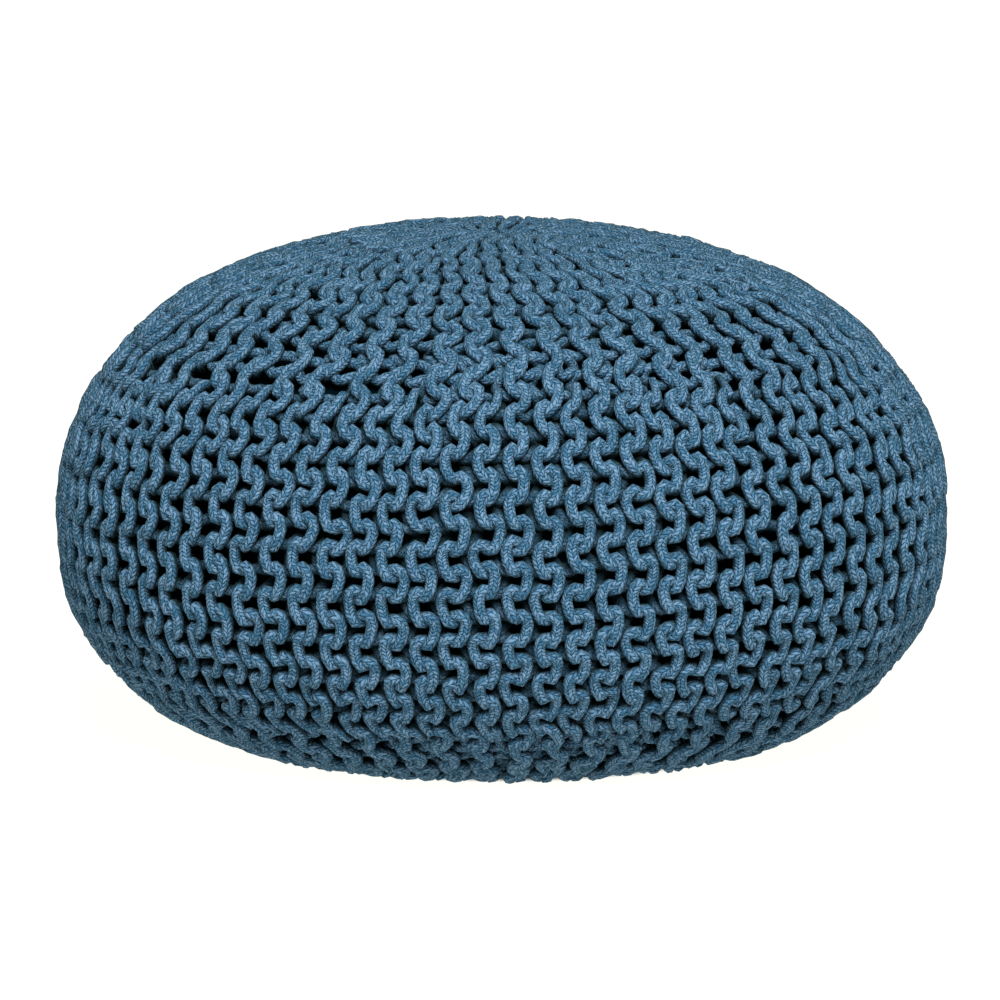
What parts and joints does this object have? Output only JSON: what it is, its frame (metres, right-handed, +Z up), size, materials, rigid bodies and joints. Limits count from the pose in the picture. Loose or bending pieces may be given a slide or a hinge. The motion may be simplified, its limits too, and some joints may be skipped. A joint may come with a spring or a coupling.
{
  "type": "knitted pouf",
  "caption": "Low round floor cushion with a chunky garter-stitch cover, gathered at the crown and resting on a flat underside.",
  "frame": {"origin": "on the floor under the pouf's middle, at the centre of the flat underside", "axes": "+Z up through the crown's gathered middle, -Y towards the viewer in the picture's view"},
  "size_m": [0.5496, 0.5478, 0.3197],
  "materials": {
    "yarn": "matte braided cotton cord, denim blue"
  },
  "bodies": {
    "root": {"knitted_pouf": "yarn"}
  },
  "joints": []
}
